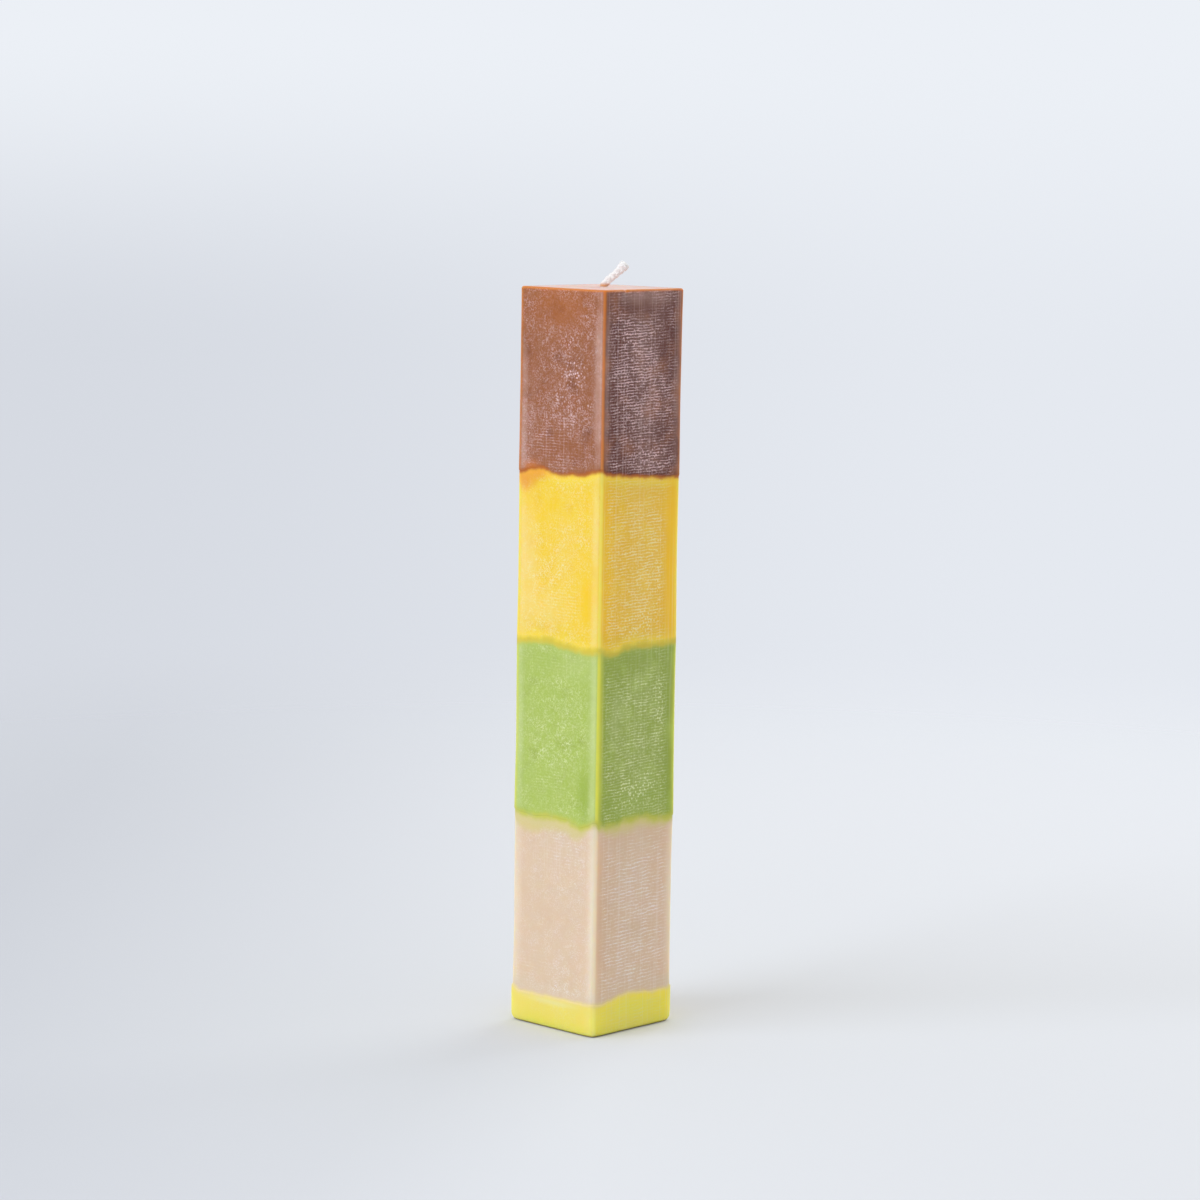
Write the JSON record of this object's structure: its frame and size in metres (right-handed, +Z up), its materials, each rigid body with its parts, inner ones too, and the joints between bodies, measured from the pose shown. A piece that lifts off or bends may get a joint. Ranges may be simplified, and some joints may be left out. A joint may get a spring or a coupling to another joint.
{
  "type": "square pillar candle",
  "caption": "Tall square pillar candle cast in stacked colours of wax round one braided cotton wick.",
  "frame": {"origin": "middle of the resting face, at the foot of the wick's axis", "axes": "+Z up along the candle to the wick; the sides lie along X and Y; the two sides seen in the picture face -Y and +X"},
  "size_m": [0.0402, 0.0402, 0.2657],
  "materials": {
    "lemon_wax": "satin wax",
    "beige_wax": "satin wax with a faint bloom",
    "green_wax": "satin wax with a white bloom",
    "yellow_wax": "satin wax with a white bloom",
    "brown_wax": "satin wax with a white bloom",
    "cotton_wick": "braided cotton stiffened with wax"
  },
  "bodies": {
    "root": {"lemon_wax_layer": "lemon_wax", "beige_wax_layer": "beige_wax", "green_wax_layer": "green_wax", "yellow_wax_layer": "yellow_wax", "brown_wax_layer": "brown_wax", "wick": "cotton_wick"}
  },
  "joints": []
}
